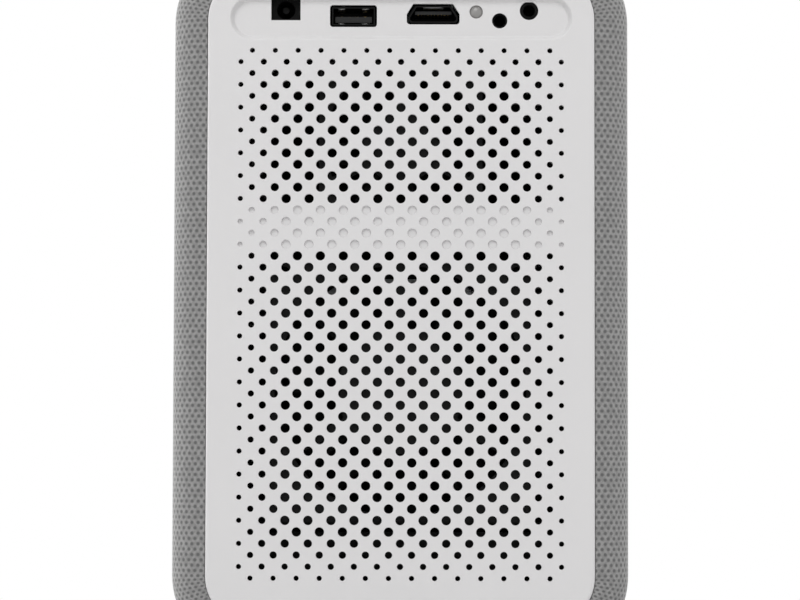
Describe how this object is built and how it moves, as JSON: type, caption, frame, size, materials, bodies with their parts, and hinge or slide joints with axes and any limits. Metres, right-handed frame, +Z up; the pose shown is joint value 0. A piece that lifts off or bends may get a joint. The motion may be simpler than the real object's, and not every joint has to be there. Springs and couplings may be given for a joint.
{
  "type": "projector with disc player",
  "caption": "Tall desktop projector wrapped in mesh fabric, with a perforated rear cover, a row of rear sockets and a tray-loading disc drive under its lens.",
  "frame": {"origin": "on the floor under the middle of the body", "axes": "+Z up, -Y towards the lens and the tray, +Y towards the sockets, +X to the right of someone who looks at the lens"},
  "size_m": [0.14, 0.16, 0.225],
  "materials": {
    "fabric": "knitted mesh",
    "cover_plastic": "fine satin moulded",
    "shell_plastic": "moulded",
    "dark_plastic": "fine texture",
    "key_plastic": "soft touch",
    "tray_plastic": "moulded",
    "fan_plastic": "moulded",
    "speaker_basket": "satin paint",
    "rubber": "matt",
    "brass": "turned",
    "steel": "zinc plated sheet",
    "hub_metal": "satin",
    "aluminium": "extruded",
    "glass": "polished, coated",
    "mirror": "front surface coating",
    "circuit_board": "solder mask",
    "light_lens": "translucent"
  },
  "bodies": {
    "root": {"fabric_wrap": "fabric", "main_shell": "shell_plastic", "rear_cover": "cover_plastic", "port_plate": "cover_plastic", "front_cover": "cover_plastic", "lens_bezel": "dark_plastic", "base_plate": "shell_plastic", "rubber_feet": "rubber", "tripod_insert": "brass", "base_screws": "steel", "small_screws": "steel", "key_plate": "dark_plastic", "key_board": "circuit_board", "mirror_box": "dark_plastic", "fold_mirror": "mirror", "lcd_panel": "steel", "fresnel_lenses": "glass", "light_box": "dark_plastic", "condenser_lens": "glass", "led_module": "brass", "heatsink": "aluminium", "chassis_plate": "steel", "exhaust_fan_frame": "fan_plastic", "intake_fan_frame": "fan_plastic", "air_guide": "shell_plastic", "main_board": "circuit_board", "dc_jack": "dark_plastic", "usb_socket": "steel", "hdmi_socket": "steel", "av_jack": "dark_plastic", "audio_jack": "dark_plastic", "status_lens": "light_lens", "decoder_board": "circuit_board", "speaker_left": "speaker_basket", "speaker_right": "speaker_basket", "speaker_cones": "dark_plastic", "drive_casing": "steel", "drive_lid": "steel"},
    "tray": {"disc_tray": "tray_plastic", "tray_bezel": "cover_plastic", "traverse_plate": "steel", "spindle_motor": "brass", "sled_rods": "steel", "sled_motor": "hub_metal"},
    "rail_left": {"tray_rail_left": "steel"},
    "rail_right": {"tray_rail_right": "steel"},
    "spindle": {"spindle_hub": "hub_metal"},
    "pickup": {"pickup_sled": "tray_plastic"},
    "leadscrew": {"leadscrew": "steel"},
    "eject": {"eject_button": "key_plastic"},
    "power_key": {"key_power": "key_plastic"},
    "volume_down_key": {"key_volume_down": "key_plastic"},
    "play_key": {"key_play": "key_plastic"},
    "volume_up_key": {"key_volume_up": "key_plastic"},
    "source_key": {"key_source": "key_plastic"},
    "focus_ring": {"focus_ring": "dark_plastic"},
    "lens_barrel": {"lens_barrel": "dark_plastic", "projection_lenses": "glass"},
    "exhaust_rotor": {"exhaust_fan_rotor": "fan_plastic"},
    "intake_rotor": {"intake_fan_rotor": "fan_plastic"}
  },
  "joints": [
    {"name": "tray_slide", "type": "slide", "parent": "root", "child": "tray", "axis": [0, -1, 0], "range_m": [0, 0.128]},
    {"name": "rail_left_slide", "type": "slide", "parent": "root", "child": "rail_left", "axis": [0, -1, 0], "range_m": [0, 0.064]},
    {"name": "rail_right_slide", "type": "slide", "parent": "root", "child": "rail_right", "axis": [0, -1, 0], "range_m": [0, 0.064]},
    {"name": "spindle_spin", "type": "hinge", "parent": "tray", "child": "spindle", "pos_m": [0, -0.0121, 0.034], "axis": [0, 0, 1], "continuous": true},
    {"name": "pickup_slide", "type": "slide", "parent": "tray", "child": "pickup", "axis": [0.7071, 0.7071, 0], "range_m": [0, 0.036]},
    {"name": "leadscrew_turn", "type": "hinge", "parent": "tray", "child": "leadscrew", "pos_m": [0.02065, -0.01691, 0.0323], "axis": [0.7071, 0.7071, 0], "range_deg": [0, 4321]},
    {"name": "eject_press", "type": "slide", "parent": "tray", "child": "eject", "axis": [0, 1, 0], "range_m": [0, 0.0007], "stiffness_N_per_m": 300, "springref_m": -0.0005},
    {"name": "power_press", "type": "slide", "parent": "root", "child": "power_key", "axis": [0, 0, -1], "range_m": [0, 0.0006], "stiffness_N_per_m": 300, "springref_m": -0.0005},
    {"name": "volume_down_press", "type": "slide", "parent": "root", "child": "volume_down_key", "axis": [0, 0, -1], "range_m": [0, 0.0006], "stiffness_N_per_m": 300, "springref_m": -0.0005},
    {"name": "play_press", "type": "slide", "parent": "root", "child": "play_key", "axis": [0, 0, -1], "range_m": [0, 0.0006], "stiffness_N_per_m": 300, "springref_m": -0.0005},
    {"name": "volume_up_press", "type": "slide", "parent": "root", "child": "volume_up_key", "axis": [0, 0, -1], "range_m": [0, 0.0006], "stiffness_N_per_m": 300, "springref_m": -0.0005},
    {"name": "source_press", "type": "slide", "parent": "root", "child": "source_key", "axis": [0, 0, -1], "range_m": [0, 0.0006], "stiffness_N_per_m": 300, "springref_m": -0.0005},
    {"name": "focus_turn", "type": "hinge", "parent": "root", "child": "focus_ring", "pos_m": [0, -0.07, 0.16], "axis": [0, -1, 0], "range_deg": [-60, 60]},
    {"name": "barrel_slide", "type": "slide", "parent": "root", "child": "lens_barrel", "axis": [0, -1, 0], "range_m": [-0.003, 0.003]},
    {"name": "exhaust_fan_spin", "type": "hinge", "parent": "root", "child": "exhaust_rotor", "pos_m": [0, 0.07, 0.0844], "axis": [0, 1, 0], "continuous": true},
    {"name": "intake_fan_spin", "type": "hinge", "parent": "root", "child": "intake_rotor", "pos_m": [0, 0.0726, 0.16015], "axis": [0, 1, 0], "continuous": true}
  ],
  "couplings": [
    {"joint": "rail_left_slide", "follows": "tray_slide", "ratio": 0.5},
    {"joint": "rail_right_slide", "follows": "tray_slide", "ratio": 0.5},
    {"joint": "leadscrew_turn", "follows": "pickup_slide", "rad_per_m": 2094.4},
    {"joint": "focus_turn", "follows": "barrel_slide", "rad_per_m": 349}
  ]
}
